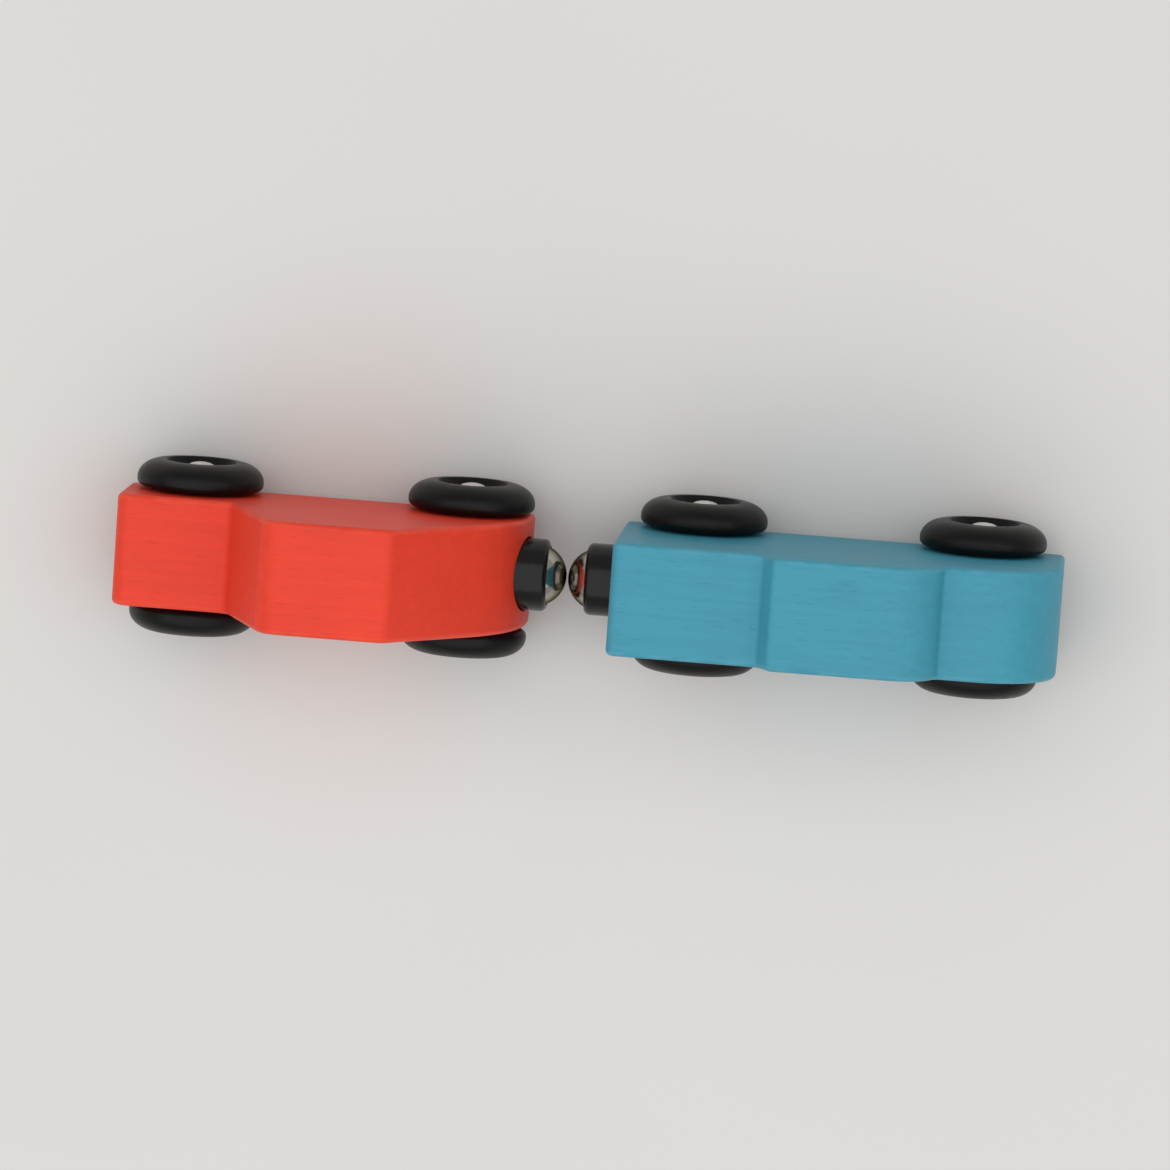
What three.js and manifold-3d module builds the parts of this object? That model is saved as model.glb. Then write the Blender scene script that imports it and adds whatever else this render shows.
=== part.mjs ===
// Wooden toy train: a red car and a blue car joined by ball magnets.
// Millimetres, +Z up, +X towards the blue nose, origin under the middle of the train.

import * as THREE from 'three';
import { mergeVertices } from 'three/addons/utils/BufferGeometryUtils.js';
import Module from 'manifold-3d';

const wasm = await Module();
wasm.setup();

// Clearance between pieces that sit in or against one another
const FIT_GAP = 0.3;

// Wooden bodies, both sawn from the same plank; heights are above the underside
const BODY_WIDTH = 20.5;
const SIDE_EDGE_ROUND = 1.0;
const SAWN_CORNER_SOFTENING = 0.3;

const RED_REAR_OVERHANG = 13.5;
const RED_WHEELBASE = 50.0;
const RED_FRONT_OVERHANG = 11.5;
const RED_DECK_LENGTH = 21.0;
const RED_DECK_HEIGHT = 20.0;
const RED_TAIL_ROUND = 3.0;
const RED_RAMP_RUN = 9.0;
const RED_RAMP_FOOT_ROUND = 2.0;
const RED_ROOF_HEIGHT = 43.5;
const RED_ROOF_REAR_ROUND = 5.0;
const RED_SLOPE_RUN = 22.5;
const RED_SLOPE_ROUND = 3.0;
const RED_NOSE_HEIGHT = 16.0;
const RED_NOSE_ROUND = 36.0;

const BLUE_REAR_OVERHANG = 14.5;
const BLUE_WHEELBASE = 51.0;
const BLUE_FRONT_OVERHANG = 15.0;
const BLUE_DECK_LENGTH = 27.0;
const BLUE_DECK_HEIGHT = 36.0;
const BLUE_TAIL_ROUND = 1.8;
const BLUE_STEP_RUN = 2.2;
const BLUE_ROOF_HEIGHT = 40.0;
const BLUE_SHOULDER_RUN = 2.6;
const BLUE_SHOULDER_ROUND = 9.4;
const BLUE_HOOD_LENGTH = 21.0;
const BLUE_HOOD_HEIGHT = 33.0;
const BLUE_HOOD_FILLET = 1.0;
const BLUE_NOSE_ROUND = 15.0;

// Moulded wheels; the crown curves from the flat band of the tread to the flat ring round the dish
const WHEEL_DIAMETER = 23.2;
const TREAD_WIDTH = 5.0;
const INNER_EDGE_ROUND = 1.2;
const TREAD_FLAT = 0.3;
const RIM_FLAT = 0.5;
const HUB_DIAMETER = 8.0;
const HUB_STEP = 0.25;
const DISH_DIAMETER = 13.0;
const DISH_DEPTH = 1.8;
const DISH_WALL_RUN = 0.9;

// Steel axle pins
const AXLE_ABOVE_UNDERSIDE = 5.6;
const PIN_DIAMETER = 3.4;
const PIN_HEAD_DIAMETER = 5.2;
const PIN_HEAD_HEIGHT = 1.3;
const PIN_HEAD_RIM = 0.4;
const PIN_TIP_CHAMFER = 0.5;
const WOOD_BETWEEN_PINS = 5.0;

// Magnet balls and the sockets that they snap into; how far out is from the car's end to the ball's centre
const BALL_DIAMETER = 11.4;
const RED_BALL_OUT = 1.3;
const BLUE_BALL_OUT = 3.7;
const SOCKET_WALL = 0.6;
const SOCKET_BACK = 2.5;
const SOCKET_LIP_REACH = 2.4;
const SOCKET_RIM_ROUND = 1.1;
const SOCKET_TAIL_CHAMFER = 0.6;
const WOOD_UNDER_SOCKET = 1.6;

// Countersunk screws that hold the sockets in the wood
const SCREW_DIAMETER = 2.4;
const SCREW_HEAD_DIAMETER = 4.4;
const SCREW_GRIP = 7.0;
const SCREW_POINT = 1.2;

// Facets of the round pieces
const OUTLINE_ARC_STEPS = 3;
const EDGE_STEPS = 2;
const WHEEL_FACETS = 28;
const WHEEL_ARC_STEPS = 2;
const PIN_FACETS = 14;
const SOCKET_FACETS = 28;
const BALL_FACETS = 24;
const HOLE_FACETS = 20;
const PROFILE_ARC_STEPS = 1;
const SPHERE_ARC_STEPS = 4;
const MERGE_DISTANCE = 1e-4;

// Sizes that follow from the ones above
const halfWidth = BODY_WIDTH / 2;
const axleHeight = WHEEL_DIAMETER / 2;
const underside = axleHeight - AXLE_ABOVE_UNDERSIDE;
const sawnCornerRound = SIDE_EDGE_ROUND + SAWN_CORNER_SOFTENING;

const pinRadius = PIN_DIAMETER / 2;
const pinHoleRadius = pinRadius + FIT_GAP;
const pinHoleBottom = WOOD_BETWEEN_PINS / 2;
const pinTip = pinHoleBottom + FIT_GAP;

const hubInnerFace = halfWidth + FIT_GAP;
const rimInnerFace = hubInnerFace + HUB_STEP;
const rimOuterFace = rimInnerFace + TREAD_WIDTH;
const dishFloor = rimOuterFace - DISH_DEPTH;
const pinHeadSeat = dishFloor + FIT_GAP;

const ballRadius = BALL_DIAMETER / 2;
const socketInnerRadius = ballRadius + FIT_GAP;
const socketOuterRadius = socketInnerRadius + SOCKET_WALL;
const socketBoreRadius = socketOuterRadius + FIT_GAP;
const socketTail = -(socketInnerRadius + SOCKET_BACK);
const boreBottom = socketTail - FIT_GAP;
const couplerHeight = underside + WOOD_UNDER_SOCKET + socketBoreRadius;

const screwRadius = SCREW_DIAMETER / 2;
const screwHeadRadius = SCREW_HEAD_DIAMETER / 2;
const screwHoleRadius = screwRadius + FIT_GAP;
const screwHeadTop = -(socketInnerRadius + FIT_GAP / 2);
const screwHeadHeight = screwHeadRadius - screwRadius;
const screwTip = boreBottom - SCREW_GRIP;

const redLength = RED_REAR_OVERHANG + RED_WHEELBASE + RED_FRONT_OVERHANG;
const blueLength = BLUE_REAR_OVERHANG + BLUE_WHEELBASE + BLUE_FRONT_OVERHANG;
const couplingGap = RED_BALL_OUT + BLUE_BALL_OUT + BALL_DIAMETER + FIT_GAP;
const redRearEnd = -(redLength + couplingGap + blueLength) / 2;
const blueRearEnd = redRearEnd + redLength + couplingGap;

// Finishes
const redPaint = new THREE.MeshStandardMaterial({ color: 0xeb4e3c, roughness: 0.45, metalness: 0 });
const bluePaint = new THREE.MeshStandardMaterial({ color: 0x4f9bb2, roughness: 0.45, metalness: 0 });
const wheelPlastic = new THREE.MeshStandardMaterial({ color: 0x1c1b1a, roughness: 0.4, metalness: 0 });
const socketPlastic = new THREE.MeshStandardMaterial({ color: 0x1a1918, roughness: 0.3, metalness: 0 });
const pinSteel = new THREE.MeshStandardMaterial({ color: 0xc9c7c2, roughness: 0.25, metalness: 1 });
const ballNickel = new THREE.MeshStandardMaterial({ color: 0xd6d2c8, roughness: 0.12, metalness: 1 });
const screwSteel = new THREE.MeshStandardMaterial({ color: 0xb9b6ae, roughness: 0.35, metalness: 1 });

function addPiece(group, name, geometry, finish) {
  const mesh = new THREE.Mesh(geometry, finish.clone());
  mesh.name = name;
  group.add(mesh);
  return mesh;
}

// Closed solid of a geometry, ready to be cut
function toSolid(geometry) {
  const bare = geometry.clone();
  bare.deleteAttribute('normal');
  bare.deleteAttribute('uv');
  const merged = mergeVertices(bare, MERGE_DISTANCE);
  const vertProperties = new Float32Array(merged.attributes.position.array);
  const triVerts = new Uint32Array(merged.index.array);
  return new wasm.Manifold(new wasm.Mesh({ numProp: 3, vertProperties, triVerts }));
}

function toGeometry(solid) {
  const mesh = solid.getMesh();
  const geometry = new THREE.BufferGeometry();
  geometry.setAttribute('position', new THREE.BufferAttribute(mesh.vertProperties, 3));
  geometry.setIndex(new THREE.BufferAttribute(mesh.triVerts, 1));
  geometry.computeVertexNormals();
  return geometry;
}

// Outline that runs counter-clockwise through corners, each with its place and its rounding
function roundedOutline(corners) {
  const outline = new THREE.Shape();
  corners.forEach((corner, i) => {
    const here = new THREE.Vector2(corner.x, corner.z);
    const before = corners.at(i - 1);
    const after = corners[(i + 1) % corners.length];
    const back = new THREE.Vector2(before.x, before.z).sub(here).normalize();
    const ahead = new THREE.Vector2(after.x, after.z).sub(here).normalize();
    const halfTurn = (Math.PI - Math.acos(back.dot(ahead))) / 2;
    const run = corner.round * Math.tan(halfTurn);
    const toCentre = back.clone().add(ahead).normalize();
    const centre = here.clone().addScaledVector(toCentre, corner.round / Math.cos(halfTurn));
    const start = here.clone().addScaledVector(back, run).sub(centre);
    const end = here.clone().addScaledVector(ahead, run).sub(centre);
    const hollow = back.cross(ahead) > 0;
    outline.absarc(centre.x, centre.y, corner.round, start.angle(), end.angle(), hollow);
  });
  outline.closePath();
  return outline;
}

function redOutline() {
  const deck = underside + RED_DECK_HEIGHT;
  const roof = underside + RED_ROOF_HEIGHT;
  const nose = underside + RED_NOSE_HEIGHT;
  return roundedOutline([
    { x: 0, z: underside, round: sawnCornerRound },
    { x: redLength, z: underside, round: sawnCornerRound },
    { x: redLength, z: nose, round: RED_NOSE_ROUND },
    { x: redLength - RED_SLOPE_RUN, z: roof, round: RED_SLOPE_ROUND },
    { x: RED_DECK_LENGTH + RED_RAMP_RUN, z: roof, round: RED_ROOF_REAR_ROUND },
    { x: RED_DECK_LENGTH, z: deck, round: RED_RAMP_FOOT_ROUND },
    { x: 0, z: deck, round: RED_TAIL_ROUND },
  ]);
}

function blueOutline() {
  const deck = underside + BLUE_DECK_HEIGHT;
  const roof = underside + BLUE_ROOF_HEIGHT;
  const hood = underside + BLUE_HOOD_HEIGHT;
  const hoodStart = blueLength - BLUE_HOOD_LENGTH;
  return roundedOutline([
    { x: 0, z: underside, round: sawnCornerRound },
    { x: blueLength, z: underside, round: sawnCornerRound },
    { x: blueLength, z: hood, round: BLUE_NOSE_ROUND },
    { x: hoodStart, z: hood, round: BLUE_HOOD_FILLET },
    { x: hoodStart - BLUE_SHOULDER_RUN, z: roof, round: BLUE_SHOULDER_ROUND },
    { x: BLUE_DECK_LENGTH + BLUE_STEP_RUN, z: roof, round: sawnCornerRound },
    { x: BLUE_DECK_LENGTH, z: deck, round: sawnCornerRound },
    { x: 0, z: deck, round: BLUE_TAIL_ROUND },
  ]);
}

// Block sawn to the outline, with its long side edges rounded over
function sawnBlock(outline) {
  const geometry = new THREE.ExtrudeGeometry(outline, {
    depth: BODY_WIDTH - 2 * SIDE_EDGE_ROUND,
    curveSegments: OUTLINE_ARC_STEPS,
    bevelThickness: SIDE_EDGE_ROUND,
    bevelSize: SIDE_EDGE_ROUND,
    bevelOffset: -SIDE_EDGE_ROUND,
    bevelSegments: EDGE_STEPS,
  });
  geometry.translate(0, 0, SIDE_EDGE_ROUND - halfWidth);
  geometry.rotateX(Math.PI / 2);
  return toSolid(geometry);
}

// Drill along Y from a distance off the middle plane to well outside the body
function axleDrill(x, side) {
  const length = BODY_WIDTH - pinHoleBottom;
  const geometry = new THREE.CylinderGeometry(pinHoleRadius, pinHoleRadius, length, HOLE_FACETS);
  geometry.translate(x, side * (pinHoleBottom + length / 2), axleHeight);
  return toSolid(geometry);
}

// Stepped drill along X for a socket's bore and its screw's pilot hole; facing is +1 or -1
function couplerDrill(ballX, facing) {
  const mouth = ballRadius;
  const boreLength = mouth - boreBottom;
  const bore = new THREE.CylinderGeometry(socketBoreRadius, socketBoreRadius, boreLength, SOCKET_FACETS);
  bore.translate(0, boreBottom + boreLength / 2, 0);
  const pilotBottom = screwTip - FIT_GAP;
  const pilotLength = mouth - pilotBottom;
  const pilot = new THREE.CylinderGeometry(screwHoleRadius, screwHoleRadius, pilotLength, HOLE_FACETS);
  pilot.translate(0, pilotBottom + pilotLength / 2, 0);
  const drills = [bore, pilot].map((geometry) => {
    geometry.rotateZ(-facing * Math.PI / 2);
    geometry.translate(ballX, 0, couplerHeight);
    return toSolid(geometry);
  });
  return drills[0].add(drills[1]);
}

function carBody(outline, axles, ballX, facing) {
  let block = sawnBlock(outline);
  for (const x of axles) {
    block = block.subtract(axleDrill(x, 1)).subtract(axleDrill(x, -1));
  }
  return toGeometry(block.subtract(couplerDrill(ballX, facing)));
}

// Wheel on the +Y side, turned about Y; heights along Y are from the car's middle plane
function wheelGeometry() {
  const treadRadius = WHEEL_DIAMETER / 2;
  const innerEdge = treadRadius - INNER_EDGE_ROUND;
  const crownStart = rimInnerFace + INNER_EDGE_ROUND + TREAD_FLAT;
  const crownDepth = rimOuterFace - crownStart;
  const crownEnd = DISH_DIAMETER / 2 + RIM_FLAT;
  const crownReach = treadRadius - crownEnd;
  const profile = new THREE.Path();
  profile.moveTo(pinHoleRadius, hubInnerFace);
  profile.lineTo(HUB_DIAMETER / 2, hubInnerFace);
  profile.lineTo(HUB_DIAMETER / 2, rimInnerFace);
  profile.absarc(innerEdge, rimInnerFace + INNER_EDGE_ROUND, INNER_EDGE_ROUND, -Math.PI / 2, 0);
  profile.absellipse(crownEnd, crownStart, crownReach, crownDepth, 0, Math.PI / 2);
  profile.lineTo(DISH_DIAMETER / 2, rimOuterFace);
  profile.lineTo(DISH_DIAMETER / 2 - DISH_WALL_RUN, dishFloor);
  profile.lineTo(pinHoleRadius, dishFloor);
  profile.lineTo(pinHoleRadius, hubInnerFace);
  return new THREE.LatheGeometry(profile.getPoints(WHEEL_ARC_STEPS), WHEEL_FACETS);
}

// Axle pin on the +Y side: chamfered tip in the wood, domed head outside the wheel
function pinGeometry() {
  const headRadius = PIN_HEAD_DIAMETER / 2;
  const domeHeight = PIN_HEAD_HEIGHT - PIN_HEAD_RIM;
  const profile = new THREE.Path();
  profile.moveTo(0, pinTip);
  profile.lineTo(pinRadius - PIN_TIP_CHAMFER, pinTip);
  profile.lineTo(pinRadius, pinTip + PIN_TIP_CHAMFER);
  profile.lineTo(pinRadius, pinHeadSeat);
  profile.lineTo(headRadius, pinHeadSeat);
  profile.absellipse(0, pinHeadSeat + PIN_HEAD_RIM, headRadius, domeHeight, 0, Math.PI / 2);
  const points = profile.getPoints(PROFILE_ARC_STEPS);
  points.at(-1).x = 0;
  return new THREE.LatheGeometry(points, PIN_FACETS);
}

// Socket about its own Y axis, ball centre at the origin and mouth towards +Y
function socketGeometry() {
  const lipRadius = Math.sqrt(socketInnerRadius ** 2 - SOCKET_LIP_REACH ** 2);
  const rimRound = Math.min(SOCKET_RIM_ROUND, socketOuterRadius - lipRadius);
  const sinkRadius = screwHeadRadius + FIT_GAP;
  const sinkTop = -Math.sqrt(socketInnerRadius ** 2 - sinkRadius ** 2);
  const sinkBottom = screwHeadTop - screwHeadHeight;
  const lipAngle = Math.atan2(SOCKET_LIP_REACH, lipRadius);
  const sinkAngle = Math.atan2(sinkTop, sinkRadius);
  const profile = new THREE.Path();
  profile.moveTo(screwHoleRadius, socketTail);
  profile.lineTo(socketOuterRadius - SOCKET_TAIL_CHAMFER, socketTail);
  profile.lineTo(socketOuterRadius, socketTail + SOCKET_TAIL_CHAMFER);
  const rimCentre = SOCKET_LIP_REACH - rimRound;
  profile.absarc(socketOuterRadius - rimRound, rimCentre, rimRound, 0, Math.PI / 2);
  const points = profile.getPoints(PROFILE_ARC_STEPS);
  const cup = new THREE.Path();
  cup.absarc(0, 0, socketInnerRadius, lipAngle, sinkAngle, true);
  cup.lineTo(sinkRadius, screwHeadTop);
  cup.lineTo(screwHoleRadius, sinkBottom);
  cup.lineTo(screwHoleRadius, socketTail);
  points.push(...cup.getPoints(SPHERE_ARC_STEPS));
  return new THREE.LatheGeometry(points, SOCKET_FACETS);
}

// Countersunk screw on the socket's axis, head towards the ball
function screwGeometry() {
  const neck = screwHeadTop - screwHeadHeight;
  const points = [
    new THREE.Vector2(0, screwTip),
    new THREE.Vector2(screwRadius, screwTip + SCREW_POINT),
    new THREE.Vector2(screwRadius, neck),
    new THREE.Vector2(screwHeadRadius, screwHeadTop),
    new THREE.Vector2(0, screwHeadTop),
  ];
  return new THREE.LatheGeometry(points, PIN_FACETS);
}

// Four wheels on their pins; x is measured from the car's rear end
function addWheels(car, carName, axles) {
  for (const [end, x] of Object.entries(axles)) {
    for (const [side, turn] of Object.entries({ left: 0, right: Math.PI })) {
      const station = new THREE.Group();
      station.position.set(x, 0, axleHeight);
      station.rotation.z = turn;
      addPiece(station, `${carName}_${end}_${side}_wheel`, wheelGeometry(), wheelPlastic);
      addPiece(station, `${carName}_${end}_${side}_axle_pin`, pinGeometry(), pinSteel);
      car.add(station);
    }
  }
}

function addCoupler(car, carName, ballX, facing) {
  const coupler = new THREE.Group();
  coupler.position.set(ballX, 0, couplerHeight);
  coupler.rotation.z = -facing * Math.PI / 2;
  addPiece(coupler, `${carName}_coupler_socket`, socketGeometry(), socketPlastic);
  addPiece(coupler, `${carName}_coupler_screw`, screwGeometry(), screwSteel);
  const ball = new THREE.SphereGeometry(ballRadius, BALL_FACETS, BALL_FACETS / 2);
  addPiece(coupler, `${carName}_coupler_ball`, ball, ballNickel);
  car.add(coupler);
}

function buildCar(carName, outline, paint, axles, ballX, facing) {
  const car = new THREE.Group();
  const body = carBody(outline, Object.values(axles), ballX, facing);
  addPiece(car, `${carName}_body`, body, paint);
  addWheels(car, carName, axles);
  addCoupler(car, carName, ballX, facing);
  return car;
}

const redAxles = { rear: RED_REAR_OVERHANG, front: RED_REAR_OVERHANG + RED_WHEELBASE };
const redCar = buildCar('red', redOutline(), redPaint, redAxles, redLength + RED_BALL_OUT, 1);
redCar.position.x = redRearEnd;

const blueAxles = { rear: BLUE_REAR_OVERHANG, front: BLUE_REAR_OVERHANG + BLUE_WHEELBASE };
const blueCar = buildCar('blue', blueOutline(), bluePaint, blueAxles, -BLUE_BALL_OUT, -1);
blueCar.position.x = blueRearEnd;

const train = new THREE.Group();
train.add(redCar, blueCar);

export default train;
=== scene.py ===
import bmesh
import bpy
import numpy as np
from mathutils import Matrix, Vector


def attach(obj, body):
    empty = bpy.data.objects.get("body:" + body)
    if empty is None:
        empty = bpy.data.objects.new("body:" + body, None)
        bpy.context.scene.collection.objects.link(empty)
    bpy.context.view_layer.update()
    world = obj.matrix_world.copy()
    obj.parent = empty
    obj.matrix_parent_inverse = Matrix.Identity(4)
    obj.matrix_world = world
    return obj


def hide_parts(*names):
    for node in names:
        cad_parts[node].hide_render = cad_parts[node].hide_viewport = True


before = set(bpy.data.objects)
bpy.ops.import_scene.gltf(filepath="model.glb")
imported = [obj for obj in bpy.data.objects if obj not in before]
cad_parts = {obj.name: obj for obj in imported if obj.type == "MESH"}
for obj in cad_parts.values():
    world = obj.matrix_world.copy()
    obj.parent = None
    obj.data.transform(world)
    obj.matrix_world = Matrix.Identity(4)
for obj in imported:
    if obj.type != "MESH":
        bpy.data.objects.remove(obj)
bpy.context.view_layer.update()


# Red car's body: a beech block sawn to a stepped outline, its long edges rounded over with a router.
# It is drilled for four axle pins and one coupler socket, then dipped in satin red paint.

# Sizes are in millimetres, and become metres when a mesh is made.
MM = 0.001
HALF_WIDTH = 10.25
SIDE_EDGE_ROUND = 1.0

# A pin hole is measured from the car's middle plane outwards.
# The bore is measured from the ball's middle towards the other car.
AXLE_HEIGHT = 11.6
PIN_HOLE_RADIUS = 2.0
PIN_HOLE_BOTTOM = 2.5
COUPLER_HEIGHT = 14.5
BORE_RADIUS = 6.9
BORE_BOTTOM = -8.8
BORE_MOUTH = 6.0
PILOT_RADIUS = 1.5
PILOT_BOTTOM = -16.1
DRILL_OVERSHOOT = 2.0

# Each corner of the outline is a distance from the rear end, a height and a rounding.
RED_REAR_END = -86.1
RED_AXLES = {"rear": -72.6, "front": -22.6}
RED_BALL_X = -9.8
RED_CORNERS = [
    (0.0, 6.0, 1.3),
    (75.0, 6.0, 1.3),
    (75.0, 22.0, 36.0),
    (52.5, 49.5, 3.0),
    (30.0, 49.5, 5.0),
    (21.0, 26.0, 2.0),
    (0.0, 26.0, 3.0),
]
RED_COLOUR = (0.80, 0.050, 0.022, 1.0)
RED_THIN_COLOUR = (0.84, 0.085, 0.042, 1.0)

# Scales are in patches a metre, and reliefs in millimetres.
# A span is the part of a pattern, which runs from 0 to 1, that goes from no effect to the full one.
GRAIN_STRETCH = (30.0, 700.0, 700.0)
PORE_STRETCH = (330.0, 2900.0, 2900.0)
PAINT_CLOUD_SCALE = 55.0
PEEL_SCALE = 1500.0
WEAR_SCALE = 260.0
PORE_SPAN = (0.64, 0.72)
WEAR_SPAN = (0.35, 0.7)
TINT_SPAN = (0.35, 0.65)
CLOUD_SPAN = (0.3, 0.7)
DEEP_SHARE = 0.91
LIGHT_SHARE = 1.05
PORE_SHARE = 0.72
WEAR_STRENGTH = 0.8
PORE_STRENGTH = 0.40
PAINT_ROUGHNESS = (0.42, 0.52)
PAINT_SHINE = 0.25
GRAIN_RELIEF = 0.06
PEEL_RELIEF = 0.03
PORE_RELIEF = 0.04

# Points closer than the first distance, in metres, are merged, and edges shorter than the second go.
# Faces that meet within the angle are shaded as one.
MERGE_DISTANCE = 1e-7
COLLAPSE_DISTANCE = 1e-8
SMOOTH_ANGLE = np.radians(35.0)


def rounded_outline(corners, steps=14):
    """Closed counter-clockwise outline through corners (across, up, rounding).

    Each corner is an arc of its rounding, tangent to the runs on both sides: centre + radius * ray,
    where the ray turns evenly about the corner's middle direction. Gives points and outward normals.
    """
    table = np.array(corners, float)
    here = table[:, :2]
    radius = table[:, 2]
    back = np.roll(here, 1, axis=0) - here
    ahead = np.roll(here, -1, axis=0) - here
    back /= np.linalg.norm(back, axis=1, keepdims=True)
    ahead /= np.linalg.norm(ahead, axis=1, keepdims=True)
    half_turn = (np.pi - np.arccos(np.sum(back * ahead, axis=1))) / 2
    bulge = np.where(back[:, 0] * ahead[:, 1] < back[:, 1] * ahead[:, 0], 1.0, -1.0)
    inward = back + ahead
    inward /= np.linalg.norm(inward, axis=1, keepdims=True)
    centre = here + inward * (radius / np.cos(half_turn))[:, None]
    middle = np.arctan2(-inward[:, 1], -inward[:, 0])
    sweep = np.linspace(-1.0, 1.0, steps + 1)
    angle = middle[:, None] + (bulge * half_turn)[:, None] * sweep
    ray = np.stack([np.cos(angle), np.sin(angle)], axis=-1)
    points = centre[:, None] + radius[:, None, None] * ray
    normals = bulge[:, None, None] * ray
    return points.reshape(-1, 2), normals.reshape(-1, 2)


def new_piece(name, vertices, faces):
    """Object at the origin from points in millimetres; coinciding points are merged and faces smoothed."""
    mesh = bpy.data.meshes.new(name)
    mesh.from_pydata((np.asarray(vertices) * MM).tolist(), [], faces)
    cleaner = bmesh.new()
    cleaner.from_mesh(mesh)
    bmesh.ops.remove_doubles(cleaner, verts=cleaner.verts, dist=MERGE_DISTANCE)
    bmesh.ops.dissolve_degenerate(cleaner, edges=cleaner.edges, dist=COLLAPSE_DISTANCE)
    cleaner.to_mesh(mesh)
    cleaner.free()
    mesh.shade_smooth()
    mesh.set_sharp_from_angle(angle=SMOOTH_ANGLE)
    piece = bpy.data.objects.new(name, mesh)
    bpy.context.scene.collection.objects.link(piece)
    return piece


def sawn_block(corners, rear_end, steps=8):
    """Points and faces of a block with the outline, carried across the car's width.

    Near each side the outline shrinks along its normals as a quarter circle does:
    inset = round * (1 - cos t), off the middle plane by half width - round + round * sin t.
    """
    points, normals = rounded_outline(corners)
    turn = np.linspace(0.0, np.pi / 2, steps + 1)
    inset = SIDE_EDGE_ROUND * (1.0 - np.cos(turn))
    off = HALF_WIDTH - SIDE_EDGE_ROUND + SIDE_EDGE_ROUND * np.sin(turn)
    inset = np.concatenate([inset[::-1], inset])
    off = np.concatenate([-off[::-1], off])
    section = points[None] - inset[:, None, None] * normals[None]
    across = np.broadcast_to(off[:, None], section.shape[:2])
    vertices = np.stack([rear_end + section[..., 0], across, section[..., 1]], axis=-1)
    rows, count = section.shape[:2]
    index = np.arange(rows * count).reshape(rows, count)
    ahead = np.roll(index, -1, axis=1)
    quads = np.stack([index[:-1], index[1:], ahead[1:], ahead[:-1]], axis=-1).reshape(-1, 4)
    sides = [index[0].tolist(), index[-1, ::-1].tolist()]
    return vertices.reshape(-1, 3), quads.tolist() + sides


def turned(profile, origin, axis, facets=64, closed=True):
    """Points and faces of a piece turned on a lathe about an axis along X or Y.

    A profile point (radius, height) goes to origin + radius * (cos a * up + sin a * side) + height * axis,
    with a running once round. A profile that isn't closed starts and ends on the axis.
    """
    axis = np.array(axis, float)
    up = np.array([0.0, 0.0, 1.0])
    side = np.cross(axis, up)
    angle = np.linspace(0.0, 2 * np.pi, facets, endpoint=False)
    ring = np.cos(angle)[:, None] * up + np.sin(angle)[:, None] * side
    profile = np.array(profile, float)
    vertices = np.array(origin, float) + profile[:, :1, None] * ring + profile[:, 1:, None] * axis
    index = np.arange(len(profile) * facets).reshape(len(profile), facets)
    here = index if closed else index[:-1]
    after = np.roll(index, -1, axis=0) if closed else index[1:]
    quads = np.stack([here, np.roll(here, -1, 1), np.roll(after, -1, 1), after], axis=-1)
    return vertices.reshape(-1, 3), quads.reshape(-1, 4).tolist()


def drill_out(piece, axles, ball_x, facing):
    """Cuts the axle holes and the stepped bore of the coupler out of a body, with lathe-shaped drills."""
    hole = [
        (0.0, PIN_HOLE_BOTTOM),
        (PIN_HOLE_RADIUS, PIN_HOLE_BOTTOM),
        (PIN_HOLE_RADIUS, HALF_WIDTH + DRILL_OVERSHOOT),
        (0.0, HALF_WIDTH + DRILL_OVERSHOOT),
    ]
    bore = [
        (0.0, PILOT_BOTTOM),
        (PILOT_RADIUS, PILOT_BOTTOM),
        (PILOT_RADIUS, BORE_BOTTOM),
        (BORE_RADIUS, BORE_BOTTOM),
        (BORE_RADIUS, BORE_MOUTH),
        (0.0, BORE_MOUTH),
    ]
    drills = [
        turned(hole, (axle_x, 0.0, AXLE_HEIGHT), (0.0, sign, 0.0), closed=False)
        for axle_x in axles.values()
        for sign in (1.0, -1.0)
    ]
    drills.append(turned(bore, (ball_x, 0.0, COUPLER_HEIGHT), (facing, 0.0, 0.0), closed=False))
    for vertices, faces in drills:
        drill = new_piece("drill", vertices, faces)
        cut = piece.modifiers.new("drilled", "BOOLEAN")
        cut.object = drill
        cut.operation = "DIFFERENCE"
        cut.solver = "EXACT"
        graph = bpy.context.evaluated_depsgraph_get()
        mesh = bpy.data.meshes.new_from_object(piece.evaluated_get(graph))
        piece.modifiers.clear()
        piece.data = mesh
        bpy.data.objects.remove(drill)
    piece.data.shade_smooth()
    piece.data.set_sharp_from_angle(angle=SMOOTH_ANGLE)
    even_shading = piece.modifiers.new("even_shading", "WEIGHTED_NORMAL")
    even_shading.keep_sharp = True


def add(tree, kind, inputs, **settings):
    """Shader node of a kind; settings are its own properties, inputs are values or other nodes' outputs."""
    made = tree.nodes.new(kind)
    for name, value in settings.items():
        setattr(made, name, value)
    for place, value in inputs.items():
        if isinstance(value, bpy.types.NodeSocket):
            tree.links.new(value, made.inputs[place])
        else:
            made.inputs[place].default_value = value
    return made


def calc(tree, operation, *values):
    """Result of a Math node on one to three values."""
    return add(tree, "ShaderNodeMath", dict(enumerate(values)), operation=operation).outputs[0]


def between(tree, value, span, target=(0.0, 1.0)):
    """Value taken from the span's ends to the target's ends, and held there outside."""
    inputs = {0: value, 1: span[0], 2: span[1], 3: target[0], 4: target[1]}
    return add(tree, "ShaderNodeMapRange", inputs, clamp=True).outputs[0]


def mixed(tree, factor, first, second):
    """Colour between two colours."""
    inputs = {"Factor": factor, 6: first, 7: second}
    return add(tree, "ShaderNodeMix", inputs, data_type="RGBA").outputs[2]


def shade(colour, share):
    """Colour made deeper or lighter: each channel times the share, one at most."""
    return tuple(min(1.0, share * value) for value in colour[:3]) + (1.0,)


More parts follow.
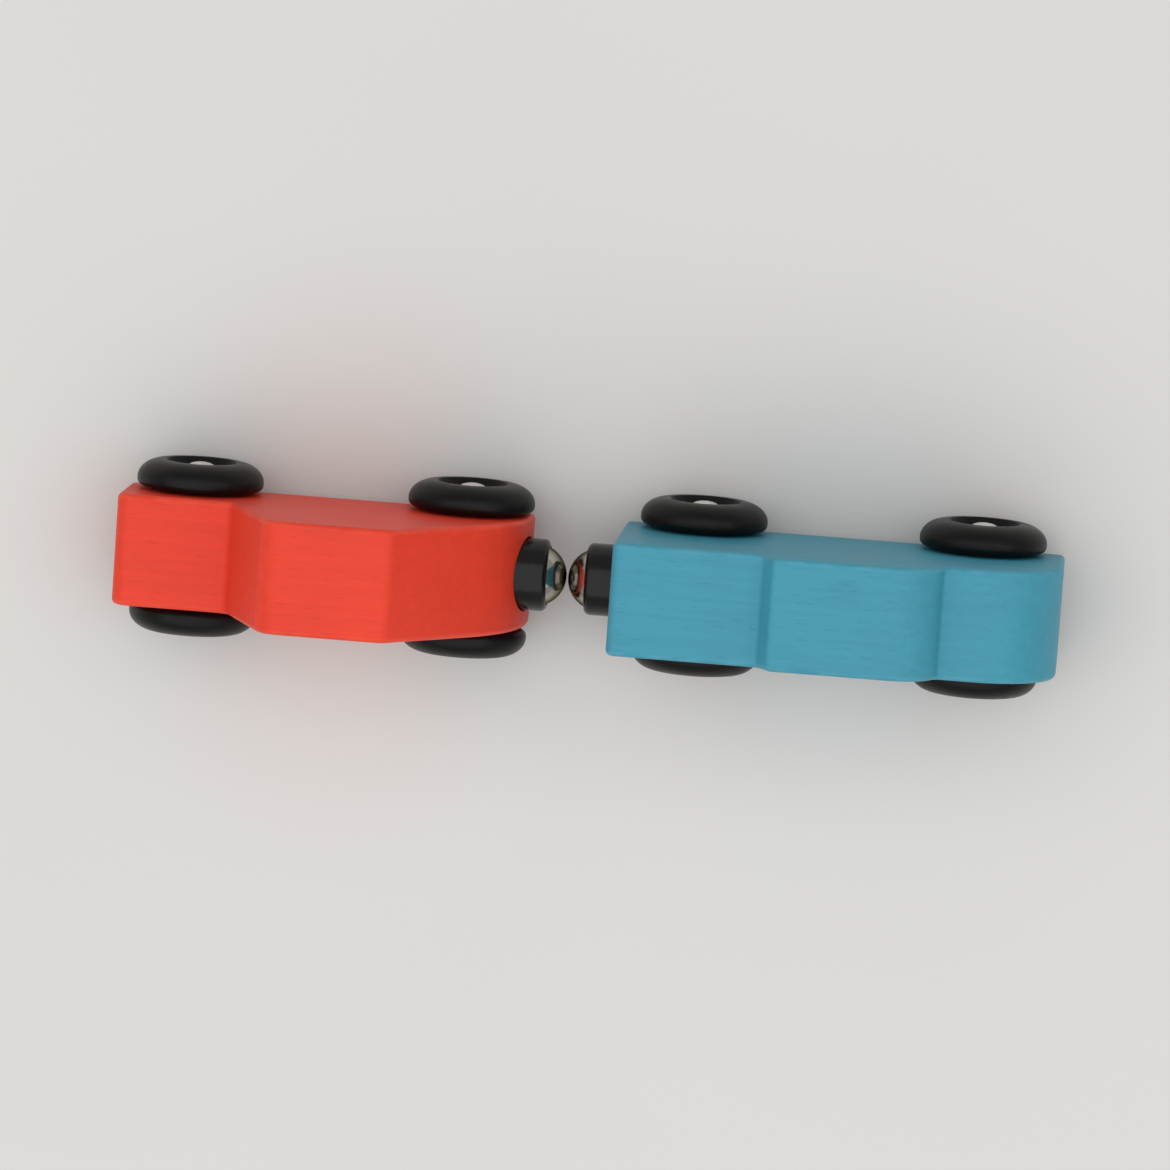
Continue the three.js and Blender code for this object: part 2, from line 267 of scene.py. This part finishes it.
def stretched(tree, place, scale):
    """Coordinates scaled by their own amount along each axis."""
    return add(tree, "ShaderNodeMapping", {"Vector": place, "Scale": scale}).outputs[0]


def noise(tree, place, scale=1.0, detail=2.0, roughness=0.5):
    """Cloudy pattern from 0 to 1; scale is in patches a metre."""
    inputs = {"Vector": place, "Scale": scale, "Detail": detail, "Roughness": roughness}
    return add(tree, "ShaderNodeTexNoise", inputs).outputs["Fac"]


def bumped(tree, height, relief, strength, under=None):
    """Normal of a surface raised by height times relief, in millimetres, on top of another bump."""
    inputs = {"Height": height, "Distance": relief * MM, "Strength": strength}
    if under is not None:
        inputs["Normal"] = under
    return add(tree, "ShaderNodeBump", inputs).outputs["Normal"]


def new_material(name):
    """Material with its node tree, its shader and the piece's own coordinates in metres."""
    material = bpy.data.materials.new(name)
    material.use_nodes = True
    tree = material.node_tree
    place = add(tree, "ShaderNodeTexCoord", {}).outputs["Object"]
    return material, tree, tree.nodes["Principled BSDF"], place


def painted_wood(name, colour, thin_colour):
    """Satin paint on beech: cloudy depth, thin on the rounded edges, with grain and pores showing faintly.

    The wear on an edge is sin(pi * t) times a pattern, where t runs from 0 to 1 across the edge's rounding.
    """
    material, tree, shader, place = new_material(name)
    grain = noise(tree, stretched(tree, place, GRAIN_STRETCH), detail=4.0, roughness=0.6)
    cloud = noise(tree, place, PAINT_CLOUD_SCALE, detail=3.0)
    peel = noise(tree, place, PEEL_SCALE)
    pores = noise(tree, stretched(tree, place, PORE_STRETCH), detail=1.0)
    pores = between(tree, pores, PORE_SPAN)
    across = add(tree, "ShaderNodeSeparateXYZ", {0: place}).outputs["Y"]
    off_middle = calc(tree, "ABSOLUTE", across)
    edge = between(tree, off_middle, ((HALF_WIDTH - SIDE_EDGE_ROUND) * MM, HALF_WIDTH * MM))
    edge = calc(tree, "SINE", calc(tree, "MULTIPLY", edge, np.pi))
    wear = between(tree, noise(tree, place, WEAR_SCALE, detail=3.0), WEAR_SPAN)
    wear = calc(tree, "MULTIPLY", edge, wear)
    tint = calc(tree, "MULTIPLY", calc(tree, "ADD", cloud, grain), 0.5)
    tint = between(tree, tint, TINT_SPAN)
    paint = mixed(tree, tint, shade(colour, DEEP_SHARE), shade(colour, LIGHT_SHARE))
    paint = mixed(tree, calc(tree, "MULTIPLY", wear, WEAR_STRENGTH), paint, thin_colour)
    paint = mixed(tree, calc(tree, "MULTIPLY", pores, PORE_STRENGTH), paint, shade(colour, PORE_SHARE))
    tree.links.new(paint, shader.inputs["Base Color"])
    tree.links.new(between(tree, cloud, CLOUD_SPAN, PAINT_ROUGHNESS), shader.inputs["Roughness"])
    shader.inputs["Specular IOR Level"].default_value = PAINT_SHINE
    normal = bumped(tree, grain, GRAIN_RELIEF, strength=0.35)
    normal = bumped(tree, peel, PEEL_RELIEF, strength=0.30, under=normal)
    normal = bumped(tree, calc(tree, "SUBTRACT", 1.0, pores), PORE_RELIEF, strength=0.35, under=normal)
    tree.links.new(normal, shader.inputs["Normal"])
    return material


red_body = new_piece("red_body_painted", *sawn_block(RED_CORNERS, RED_REAR_END))
drill_out(red_body, RED_AXLES, RED_BALL_X, facing=1.0)
red_body.data.materials.append(painted_wood("red_satin_paint", RED_COLOUR, RED_THIN_COLOUR))
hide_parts("red_body")
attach(red_body, "red_car")


# Blue car's body: a second beech block from the same plank, sawn with a low step behind its cab,
# a round shoulder in front of it and a round nose, and dipped in satin blue paint.

BLUE_REAR_END = 5.6
BLUE_AXLES = {"rear": 20.1, "front": 71.1}
BLUE_BALL_X = 1.9
BLUE_CORNERS = [
    (0.0, 6.0, 1.3),
    (80.5, 6.0, 1.3),
    (80.5, 39.0, 15.0),
    (59.5, 39.0, 1.0),
    (56.9, 46.0, 9.4),
    (29.2, 46.0, 1.3),
    (27.0, 42.0, 1.3),
    (0.0, 42.0, 1.8),
]
BLUE_COLOUR = (0.053, 0.294, 0.401, 1.0)
BLUE_THIN_COLOUR = (0.100, 0.352, 0.461, 1.0)

blue_body = new_piece("blue_body_painted", *sawn_block(BLUE_CORNERS, BLUE_REAR_END))
drill_out(blue_body, BLUE_AXLES, BLUE_BALL_X, facing=-1.0)
blue_body.data.materials.append(painted_wood("blue_satin_paint", BLUE_COLOUR, BLUE_THIN_COLOUR))
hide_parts("blue_body")
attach(blue_body, "blue_car")


# Coupler sockets: glossy black moulded cups pushed into the bodies' end bores.
# A round-edged lip reaches past the ball's middle, so the ball snaps in and stays.

SOCKET_OUTER_RADIUS = 6.6
SOCKET_INNER_RADIUS = 6.0
SOCKET_LIP_REACH = 2.4
SOCKET_TAIL = -8.5
TAIL_CHAMFER = 0.6
SINK_RADIUS = 2.5
SINK_BOTTOM = -7.15
SCREW_HEAD_TOP = -6.15

# Each coupler is its ball's place along the train and the way that it faces.
COUPLERS = {"red": (RED_BALL_X, 1.0), "blue": (BLUE_BALL_X, -1.0)}

GLOSS_CLOUD_SCALE = 180.0
MOULD_TEXTURE_SCALE = 2600.0
MOULD_RELIEF = 0.02
MARK_SPAN = (0.58, 0.75)
MARK_STRENGTH = 0.5
MARK_ROUGHNESS = 0.10
ROUGHNESS_DIP = 0.05
ROUGHNESS_RISE = 0.07


def socket_profile(rim_steps=12, seat_steps=32):
    """Closed profile of the cup: chamfered tail, straight wall, rounded rim, then the seat inside.

    The rim is a quarter circle, and the seat is a circle about the ball's middle:
    (radius * cos t, radius * sin t), with t from the lip down to the countersink.
    """
    lip_radius = np.sqrt(SOCKET_INNER_RADIUS**2 - SOCKET_LIP_REACH**2)
    sink_top = -np.sqrt(SOCKET_INNER_RADIUS**2 - SINK_RADIUS**2)
    wall = [
        (PILOT_RADIUS, SOCKET_TAIL),
        (SOCKET_OUTER_RADIUS - TAIL_CHAMFER, SOCKET_TAIL),
        (SOCKET_OUTER_RADIUS, SOCKET_TAIL + TAIL_CHAMFER),
    ]
    rim_round = SOCKET_OUTER_RADIUS - lip_radius
    rim_turn = np.linspace(0.0, np.pi / 2, rim_steps + 1)
    rim_centre = (lip_radius, SOCKET_LIP_REACH - rim_round)
    rim = rim_centre + rim_round * np.stack([np.cos(rim_turn), np.sin(rim_turn)], axis=1)
    seat_start = np.arctan2(SOCKET_LIP_REACH, lip_radius)
    seat_end = np.arctan2(sink_top, SINK_RADIUS)
    seat_turn = np.linspace(seat_start, seat_end, seat_steps + 1)
    seat = SOCKET_INNER_RADIUS * np.stack([np.cos(seat_turn), np.sin(seat_turn)], axis=1)
    sink = [(SINK_RADIUS, SCREW_HEAD_TOP), (PILOT_RADIUS, SINK_BOTTOM)]
    return np.concatenate([wall, rim, seat[1:], sink])


def moulded_plastic(name, colour, scuffed_colour, roughness, shine, scuff_scale):
    """Black moulded plastic with faint cloudy gloss, fine mould texture and thin grey handling marks."""
    material, tree, shader, place = new_material(name)
    cloud = noise(tree, place, GLOSS_CLOUD_SCALE, detail=3.0)
    texture = noise(tree, place, MOULD_TEXTURE_SCALE)
    marks = between(tree, noise(tree, place, scuff_scale, detail=5.0, roughness=0.7), MARK_SPAN)
    tint = mixed(tree, calc(tree, "MULTIPLY", marks, MARK_STRENGTH), colour, scuffed_colour)
    tree.links.new(tint, shader.inputs["Base Color"])
    gloss = between(tree, cloud, CLOUD_SPAN, (roughness - ROUGHNESS_DIP, roughness + ROUGHNESS_RISE))
    gloss = calc(tree, "ADD", gloss, calc(tree, "MULTIPLY", marks, MARK_ROUGHNESS))
    tree.links.new(gloss, shader.inputs["Roughness"])
    shader.inputs["Specular IOR Level"].default_value = shine
    tree.links.new(bumped(tree, texture, MOULD_RELIEF, strength=0.25), shader.inputs["Normal"])
    return material


socket_black = moulded_plastic(
    "socket_gloss_black",
    colour=(0.0055, 0.0050, 0.0046, 1.0),
    scuffed_colour=(0.018, 0.017, 0.016, 1.0),
    roughness=0.20,
    shine=0.27,
    scuff_scale=420.0,
)
for car, (ball_x, facing) in COUPLERS.items():
    shape = turned(socket_profile(), (ball_x, 0.0, COUPLER_HEIGHT), (facing, 0.0, 0.0), facets=96)
    socket = new_piece(car + "_coupler_cup", *shape)
    socket.data.materials.append(socket_black)
    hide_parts(car + "_coupler_socket")
    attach(socket, car + "_car")


# Coupler screws: countersunk wood screws of zinc-plated steel, with a rolled thread and a cross recess.
# Each holds its socket against the bottom of the bore.

SCREW_RADIUS = 1.2
SCREW_HEAD_RADIUS = 2.2
SCREW_TIP = -15.8
SCREW_TIP_TAPER = 2.2
SCREW_NECK = -7.15
PLAIN_NECK = 1.0
THREAD_PITCH = 0.95
THREAD_DEPTH = 0.32
THREAD_FLANK = 4.4
THREAD_RUN_OUT = 0.8
RECESS_REACH = 1.3
RECESS_HALF_WIDTH = 0.28
RECESS_DEPTH = 0.55
RECESS_WALL = 0.08
RECESS_END = 0.15
SCRATCH_STRETCH = (5000.0, 900.0, 5000.0)
SCRATCH_RELIEF = 0.008
DULL_SPAN = (0.4, 0.75)
SMUDGE_SPAN = (0.3, 0.75)
WHITE = (1.0, 1.0, 1.0, 1.0)


def screw_surface(origin, axis, facets=48, shank_rows=110, head_rows=22):
    """Points and faces of a screw as a surface of two values, the height row and the angle round the axis.

    On the shank radius = envelope - depth * min(1, flank * |phase - half|), where the phase is the
    fraction of height / pitch - angle / full turn. The envelope and the depth taper to the tip, and the
    depth runs out under the head. On the head's top the height drops inside a cross of two arms.
    """
    angle = np.linspace(0.0, 2 * np.pi, facets, endpoint=False)[None, :]
    height = np.linspace(SCREW_TIP, SCREW_NECK, shank_rows)[:, None]
    envelope = SCREW_RADIUS * np.clip((height - SCREW_TIP) / SCREW_TIP_TAPER, 0.0, 1.0)
    phase = (height / THREAD_PITCH - angle / (2 * np.pi)) % 1.0
    run_out = np.clip((SCREW_NECK - PLAIN_NECK - height) / THREAD_RUN_OUT, 0.0, 1.0)
    depth = THREAD_DEPTH * run_out * envelope / SCREW_RADIUS
    groove = depth * np.minimum(1.0, THREAD_FLANK * np.abs(phase - 0.5))
    shank = np.clip(envelope - groove, 0.0, None)
    shank_height = np.broadcast_to(height, shank.shape)
    top = np.linspace(SCREW_HEAD_RADIUS, 0.0, head_rows)[:, None] * np.ones_like(angle)
    off_arm = np.minimum(np.abs(top * np.cos(angle)), np.abs(top * np.sin(angle)))
    inside_arm = np.clip((RECESS_HALF_WIDTH - off_arm) / RECESS_WALL, 0.0, 1.0)
    inside_reach = np.clip((RECESS_REACH - top) / RECESS_END, 0.0, 1.0)
    top_height = SCREW_HEAD_TOP - RECESS_DEPTH * inside_arm * inside_reach
    radius = np.concatenate([shank, top])
    height = np.concatenate([shank_height, top_height])
    axis = np.array(axis, float)
    up = np.array([0.0, 0.0, 1.0])
    side = np.cross(axis, up)
    ring = np.cos(angle)[..., None] * up + np.sin(angle)[..., None] * side
    vertices = np.array(origin, float) + radius[..., None] * ring + height[..., None] * axis
    index = np.arange(radius.size).reshape(radius.shape)
    ahead = np.roll(index, -1, axis=1)
    quads = np.stack([index[:-1], ahead[:-1], ahead[1:], index[1:]], axis=-1)
    return vertices.reshape(-1, 3), quads.reshape(-1, 4).tolist()


def brushed_metal(name, colour, dull_colour, edge_colour, roughness, spread, smudge_scale):
    """Bare metal with cloudy smudges in its gloss, fine scratches and a tint where it is seen edge on."""
    material, tree, shader, place = new_material(name)
    smudge = noise(tree, place, smudge_scale, detail=4.0, roughness=0.6)
    scratch = noise(tree, stretched(tree, place, SCRATCH_STRETCH), detail=3.0)
    tint = mixed(tree, between(tree, smudge, DULL_SPAN), colour, dull_colour)
    tree.links.new(tint, shader.inputs["Base Color"])
    shader.inputs["Metallic"].default_value = 1.0
    shader.inputs["Specular Tint"].default_value = edge_colour
    gloss = between(tree, smudge, SMUDGE_SPAN, (roughness, roughness + spread))
    tree.links.new(gloss, shader.inputs["Roughness"])
    tree.links.new(bumped(tree, scratch, SCRATCH_RELIEF, strength=0.2), shader.inputs["Normal"])
    return material


screw_zinc = brushed_metal(
    "screw_zinc",
    colour=(0.52, 0.51, 0.47, 1.0),
    dull_colour=(0.36, 0.35, 0.31, 1.0),
    edge_colour=WHITE,
    roughness=0.30,
    spread=0.15,
    smudge_scale=600.0,
)
for car, (ball_x, facing) in COUPLERS.items():
    shape = screw_surface((ball_x, 0.0, COUPLER_HEIGHT), (facing, 0.0, 0.0))
    screw = new_piece(car + "_coupler_wood_screw", *shape)
    screw.data.materials.append(screw_zinc)
    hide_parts(car + "_coupler_screw")
    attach(screw, car + "_car")


# Coupler balls: nickel-plated ball magnets, loose in their sockets so that they turn to attract.
# They are ground round and polished, with painted shade where they meet and a painted dark reflection round
# their outline.

BALL_RADIUS = 5.7
MEETING_X = 0.5 * (RED_BALL_X + BLUE_BALL_X)
MEETING_POINT = (MEETING_X * MM, 0.0, COUPLER_HEIGHT * MM)
# The balls' colour is painted darker round the point where they meet: painted shade between the two parts.
PAINTED_SHADE_REACH = 0.5
UNSHADED_REACH = 2.8
PAINTED_SHADE_COLOUR = (0.14, 0.12, 0.095, 1.0)


def ball_surface(origin, axis, rows=64, facets=96):
    """Points and faces of a ball.

    A point lies radius * sin t off the axis and -radius * cos t along it, for t from 0 to pi.
    """
    turn = np.linspace(0.0, np.pi, rows + 1)
    profile = BALL_RADIUS * np.stack([np.sin(turn), -np.cos(turn)], axis=1)
    return turned(profile, origin, axis, facets, closed=False)


def paint_shade_at(material, point, painted_shade_colour):
    """Paints shade into a material's colour round a point: the painted shade colour near it, its own colour
    farther off.
    """
    tree = material.node_tree
    socket = tree.nodes["Principled BSDF"].inputs["Base Color"]
    bright = socket.links[0].from_socket
    place = add(tree, "ShaderNodeTexCoord", {}).outputs["Object"]
    apart = add(tree, "ShaderNodeVectorMath", {0: place, 1: point}, operation="DISTANCE").outputs["Value"]
    unshaded = between(tree, apart, (PAINTED_SHADE_REACH * MM, UNSHADED_REACH * MM))
    tree.links.new(mixed(tree, unshaded, painted_shade_colour, bright), socket)


ball_nickel = brushed_metal(
    "ball_nickel",
    colour=(0.44, 0.41, 0.36, 1.0),
    dull_colour=(0.32, 0.295, 0.255, 1.0),
    # The dark edge colour is a painted dark reflection: it darkens the ball where it is seen edge on, round
    # its outline.
    edge_colour=(0.16, 0.135, 0.10, 1.0),
    roughness=0.11,
    spread=0.12,
    smudge_scale=240.0,
)
# Painted shade round the point where the two balls meet.
paint_shade_at(ball_nickel, MEETING_POINT, PAINTED_SHADE_COLOUR)
for car, (ball_x, facing) in COUPLERS.items():
    shape = ball_surface((ball_x, 0.0, COUPLER_HEIGHT), (facing, 0.0, 0.0))
    ball = new_piece(car + "_coupler_magnet", *shape)
    ball.data.materials.append(ball_nickel)
    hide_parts(car + "_coupler_ball")
    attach(ball, car + "_magnet")


# Axle pins: bright plated steel pins with domed heads, knocked into the bodies' sides.
# The wheels turn loose on them between the head and the wood.

# A pin and its wheel are measured along the axle from the car's middle plane.
PIN_RADIUS = 1.7
PIN_TIP = 2.8
TIP_CHAMFER = 0.5
PIN_HEAD_RADIUS = 2.6
PIN_HEAD_SEAT = 14.3
PIN_HEAD_EDGE = 0.12
PIN_HEAD_RIM = 0.25
PIN_DOME = 1.05

# Each station is its name, its car, its axle's place along the train and its side.
STATIONS = [
    (f"{car}_{end}_{side}", car, axle_x, sign)
    for car, axles in (("red", RED_AXLES), ("blue", BLUE_AXLES))
    for end, axle_x in axles.items()
    for side, sign in (("left", 1.0), ("right", -1.0))
]


def pin_profile(dome_steps=14):
    """Open profile from the tip's middle to the head's: chamfered tip, shank, then the head's rim and dome.

    The dome is a quarter ellipse: (head radius * cos t, rim + dome * sin t), t from 0 to a quarter turn.
    """
    shank = [
        (0.0, PIN_TIP),
        (PIN_RADIUS - TIP_CHAMFER, PIN_TIP),
        (PIN_RADIUS, PIN_TIP + TIP_CHAMFER),
        (PIN_RADIUS, PIN_HEAD_SEAT),
        (PIN_HEAD_RADIUS - PIN_HEAD_EDGE, PIN_HEAD_SEAT),
        (PIN_HEAD_RADIUS, PIN_HEAD_SEAT + PIN_HEAD_EDGE),
    ]
    turn = np.linspace(0.0, np.pi / 2, dome_steps + 1)
    dome_height = PIN_HEAD_SEAT + PIN_HEAD_RIM + PIN_DOME * np.sin(turn)
    dome = np.stack([PIN_HEAD_RADIUS * np.cos(turn), dome_height], axis=1)
    dome[-1, 0] = 0.0
    return np.concatenate([shank, dome])


pin_steel = brushed_metal(
    "pin_steel",
    colour=(0.80, 0.78, 0.74, 1.0),
    dull_colour=(0.62, 0.60, 0.56, 1.0),
    edge_colour=WHITE,
    roughness=0.20,
    spread=0.14,
    smudge_scale=500.0,
)
for station, car, axle_x, sign in STATIONS:
    shape = turned(pin_profile(), (axle_x, 0.0, AXLE_HEIGHT), (0.0, sign, 0.0), facets=48, closed=False)
    pin = new_piece(station + "_steel_pin", *shape)
    pin.data.materials.append(pin_steel)
    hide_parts(station + "_axle_pin")
    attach(pin, car + "_car")


# Wheels: satin black moulded discs with a crowned tread, a dished outer face and a small hub step inside.
# Each turns loose on its pin.

WHEEL_RADIUS = 11.6
HUB_RADIUS = 4.0
HUB_FACE = 10.55
INNER_FACE = 10.8
OUTER_FACE = 15.8
INNER_EDGE_ROUND = 1.2
CROWN_REACH = 4.6
CROWN_DEPTH = 3.5
DISH_RADIUS = 6.5
DISH_FLOOR = 14.0
DISH_FLOOR_RADIUS = 5.6
DISH_LIP_ROUND = 0.3
DISH_FILLET = 0.5


def arc(centre, reach, rise, start, end, steps):
    """Points of an elliptical arc: centre + (reach * cos t, rise * sin t), for t in degrees."""
    turn = np.radians(np.linspace(start, end, steps + 1))
    return np.stack([centre[0] + reach * np.cos(turn), centre[1] + rise * np.sin(turn)], axis=1)


def wheel_profile():
    """Closed profile of a wheel: bore, hub step, inner face and edge, crowned tread, then the dish.

    The crown is a quarter ellipse. The dish's wall leans, and its lip and its foot are small arcs tangent
    to it, whose centres lie radius * tan(half the turn) along the flat faces from the corners.
    """
    lean = np.degrees(np.arctan2(OUTER_FACE - DISH_FLOOR, DISH_RADIUS - DISH_FLOOR_RADIUS))
    along = np.tan(np.radians(lean / 2))
    lip_centre = (DISH_RADIUS + DISH_LIP_ROUND * along, OUTER_FACE - DISH_LIP_ROUND)
    foot_centre = (DISH_FLOOR_RADIUS - DISH_FILLET * along, DISH_FLOOR + DISH_FILLET)
    inner_centre = (WHEEL_RADIUS - INNER_EDGE_ROUND, INNER_FACE + INNER_EDGE_ROUND)
    crown_centre = (WHEEL_RADIUS - CROWN_REACH, OUTER_FACE - CROWN_DEPTH)
    return np.concatenate([
        [(PIN_HOLE_RADIUS, HUB_FACE), (HUB_RADIUS, HUB_FACE), (HUB_RADIUS, INNER_FACE)],
        arc(inner_centre, INNER_EDGE_ROUND, INNER_EDGE_ROUND, -90.0, 0.0, steps=10),
        arc(crown_centre, CROWN_REACH, CROWN_DEPTH, 0.0, 90.0, steps=24),
        arc(lip_centre, DISH_LIP_ROUND, DISH_LIP_ROUND, 90.0, 90.0 + lean, steps=6),
        arc(foot_centre, DISH_FILLET, DISH_FILLET, lean - 90.0, -90.0, steps=6),
        [(PIN_HOLE_RADIUS, DISH_FLOOR)],
    ])


wheel_black = moulded_plastic(
    "wheel_satin_black",
    colour=(0.0045, 0.0041, 0.0037, 1.0),
    scuffed_colour=(0.015, 0.014, 0.013, 1.0),
    roughness=0.38,
    shine=0.18,
    scuff_scale=300.0,
)
for station, car, axle_x, sign in STATIONS:
    shape = turned(wheel_profile(), (axle_x, 0.0, AXLE_HEIGHT), (0.0, sign, 0.0), facets=96)
    wheel = new_piece(station + "_moulded_wheel", *shape)
    wheel.data.materials.append(wheel_black)
    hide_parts(station + "_wheel")
    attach(wheel, station + "_wheel")


# Floor: a plain pale studio floor, far larger than the view, so that no edge of it shows.
# It is matt, and its tint is faintly cloudy.

FLOOR_HALF = 3.0
FLOOR_COLOUR = (0.66, 0.65, 0.63, 1.0)
FLOOR_LIGHT_COLOUR = (0.70, 0.69, 0.67, 1.0)
FLOOR_CLOUD_SCALE = 6.0
FLOOR_ROUGHNESS = 0.8

floor_corners = FLOOR_HALF * np.array([(-1, -1, 0), (1, -1, 0), (1, 1, 0), (-1, 1, 0)], float)
floor_mesh = bpy.data.meshes.new("floor")
floor_mesh.from_pydata(floor_corners.tolist(), [], [(0, 1, 2, 3)])
floor = bpy.data.objects.new("floor", floor_mesh)
bpy.context.scene.collection.objects.link(floor)
floor_material, floor_tree, floor_shader, floor_place = new_material("floor_pale")
floor_cloud = noise(floor_tree, floor_place, FLOOR_CLOUD_SCALE, detail=3.0)
floor_tint = mixed(floor_tree, floor_cloud, FLOOR_COLOUR, FLOOR_LIGHT_COLOUR)
floor_tree.links.new(floor_tint, floor_shader.inputs["Base Color"])
floor_shader.inputs["Roughness"].default_value = FLOOR_ROUGHNESS
floor_mesh.materials.append(floor_material)


# Light: one broad softbox that hangs level over the train, in an even surround about half as bright.
# The tops are brightest and the upright ends fall into shade, as in the photograph.

SOFTBOX_PLACE = Vector((0.0, -0.30, 1.50))
SOFTBOX_AIM = Vector((0.0, -0.30, 0.0))
SOFTBOX_UP = Vector((0.0, 1.0, 0.0))
SOFTBOX_LENGTH = 4.4
SOFTBOX_WIDTH = 3.0
SOFTBOX_POWER = 40.0
SURROUND_STRENGTH = 0.45


def aimed(place, aim, up):
    """Matrix of a lamp or a camera at a place that looks at a point; its axes are right, up and back."""
    back = (place - aim).normalized()
    right = up.cross(back).normalized()
    axes = Matrix((right, back.cross(right), back)).transposed()
    return Matrix.Translation(place) @ axes.to_4x4()


world = bpy.data.worlds.new("studio")
world.use_nodes = True
surround = world.node_tree.nodes["Background"]
surround.inputs["Color"].default_value = WHITE
surround.inputs["Strength"].default_value = SURROUND_STRENGTH
bpy.context.scene.world = world

softbox_lamp = bpy.data.lights.new("softbox", "AREA")
softbox_lamp.shape = "RECTANGLE"
softbox_lamp.size = SOFTBOX_LENGTH
softbox_lamp.size_y = SOFTBOX_WIDTH
softbox_lamp.energy = SOFTBOX_POWER
softbox = bpy.data.objects.new("softbox", softbox_lamp)
softbox.matrix_world = aimed(SOFTBOX_PLACE, SOFTBOX_AIM, SOFTBOX_UP)
bpy.context.scene.collection.objects.link(softbox)


# Camera: high above the train and a little towards its left side and its front, where the photograph
# was taken. The train lies turned a few degrees clockwise in the frame.

FRAME_TURN = np.radians(4.0)
IMAGE_RIGHT = Vector((np.cos(FRAME_TURN), np.sin(FRAME_TURN), 0.0))
IMAGE_UP = Vector((-np.sin(FRAME_TURN), np.cos(FRAME_TURN), 0.0))
CAMERA_ALONG = 0.104
CAMERA_ACROSS = 0.168
CAMERA_HEIGHT = 1.40
CAMERA_AIM = Vector((0.0, 0.0, 0.024))
FOCAL_LENGTH = 236.0
SENSOR_WIDTH = 36.0

camera_place = IMAGE_RIGHT * CAMERA_ALONG + IMAGE_UP * CAMERA_ACROSS
camera_place.z = CAMERA_HEIGHT
lens = bpy.data.cameras.new("camera")
lens.lens = FOCAL_LENGTH
lens.sensor_width = SENSOR_WIDTH
camera = bpy.data.objects.new("camera", lens)
camera.matrix_world = aimed(camera_place, CAMERA_AIM, IMAGE_UP)
bpy.context.scene.collection.objects.link(camera)
bpy.context.scene.camera = camera
bpy.context.scene.view_settings.view_transform = "Standard"
